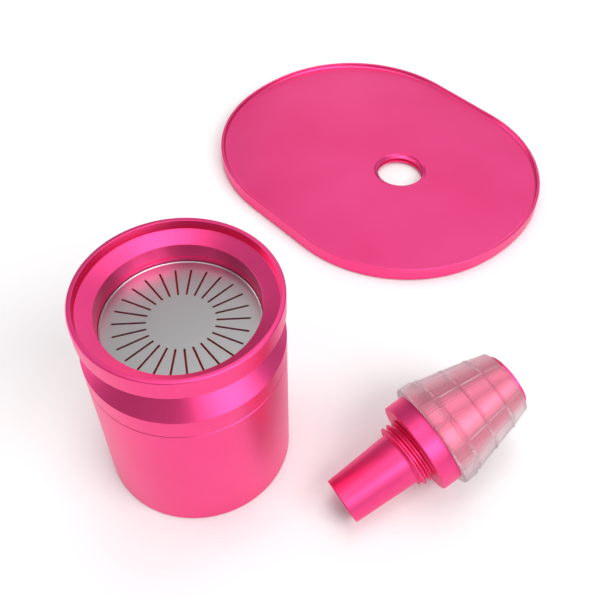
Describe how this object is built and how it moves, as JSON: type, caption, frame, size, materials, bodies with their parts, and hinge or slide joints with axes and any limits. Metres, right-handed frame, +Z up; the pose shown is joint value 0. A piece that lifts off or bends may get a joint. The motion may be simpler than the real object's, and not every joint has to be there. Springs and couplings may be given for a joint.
{
  "type": "nail dust collector",
  "caption": "Suction canister with a funnel mouth and slotted steel grille, oval dust tray with a threaded hole, and a threaded hose spigot in a ribbed silicone sleeve.",
  "frame": {"origin": "on the canister's axis, at the surface that the set stands on", "axes": "+Z up along the canister's axis; +Y towards the canister's back wall and the tray; +X towards the spigot"},
  "size_m": [0.252, 0.3708, 0.1122],
  "materials": {
    "anodised": "satin magenta-pink anodised",
    "grille_steel": "fine satin",
    "black_rubber": "matt",
    "filter_foam_red": "open-cell foam",
    "filter_paper": "folded fleece",
    "screw_steel": "plain",
    "magnet": "satin",
    "black_plastic": "moulded",
    "white_plastic": "moulded",
    "cell_wrap": "shrink wrap",
    "board_green": "solder mask",
    "copper_wire": "enamelled wire",
    "button_metal": "satin magenta-pink anodised",
    "light_guide": "clear",
    "silicone": "milky see-through silicone"
  },
  "bodies": {
    "canister": {"canister_shell": "anodised", "base_plate": "anodised", "base_screws": "screw_steel", "foot_ring": "black_rubber", "outlet_socket": "anodised", "outlet_screws": "screw_steel", "outlet_duct": "black_plastic", "battery_cradle": "black_plastic", "battery_cells": "cell_wrap", "cell_links": "screw_steel", "control_board": "board_green", "board_parts": "black_plastic", "charging_socket": "screw_steel", "switch_body": "black_plastic", "button_bezel": "anodised", "status_light": "light_guide", "fan_frame": "black_plastic", "fan_cover": "black_plastic", "fan_screws": "screw_steel", "fan_gasket": "filter_foam_red", "motor_bearings": "screw_steel", "stator_core": "magnet", "stator_coils": "copper_wire", "motor_board": "board_green"},
    "head": {"head_collar": "anodised", "head_seal": "black_rubber", "grille_gasket": "black_rubber"},
    "cartridge": {"intake_grille": "grille_steel", "filter_frame": "black_plastic", "filter_foam": "filter_foam_red", "filter_pleats": "filter_paper"},
    "rotor": {"impeller": "white_plastic", "rotor_magnet": "magnet", "motor_shaft": "screw_steel"},
    "button": {"power_button": "button_metal", "switch_plunger": "white_plastic"},
    "tray": {"dust_tray": "anodised", "tray_pads": "black_rubber"},
    "spigot": {"spigot_body": "anodised"},
    "sleeve": {"silicone_sleeve": "silicone"}
  },
  "joints": [
    {"name": "head_lift", "type": "slide", "parent": "canister", "child": "head", "axis": [0, 0, 1], "range_m": [0, 0.05]},
    {"name": "cartridge_lift", "type": "slide", "parent": "head", "child": "cartridge", "axis": [0, 0, 1], "range_m": [0, 0.045]},
    {"name": "rotor_spin", "type": "hinge", "parent": "canister", "child": "rotor", "pos_m": [0, 0, 0.057], "axis": [0, 0, 1], "continuous": true},
    {"name": "button_press", "type": "slide", "parent": "canister", "child": "button", "axis": [0, -1, 0], "range_m": [0, 0.0006], "stiffness_N_per_m": 2000, "springref_m": -0.0002},
    {"name": "tray_lift", "type": "slide", "parent": "canister", "child": "tray", "axis": [0, 0, 1], "range_m": [0, 0.1]},
    {"name": "spigot_lift", "type": "slide", "parent": "canister", "child": "spigot", "axis": [0, 0, 1], "range_m": [0, 0.1]},
    {"name": "sleeve_pull", "type": "slide", "parent": "spigot", "child": "sleeve", "axis": [0.8144, 0.507, 0.2823], "range_m": [0, 0.055]}
  ]
}
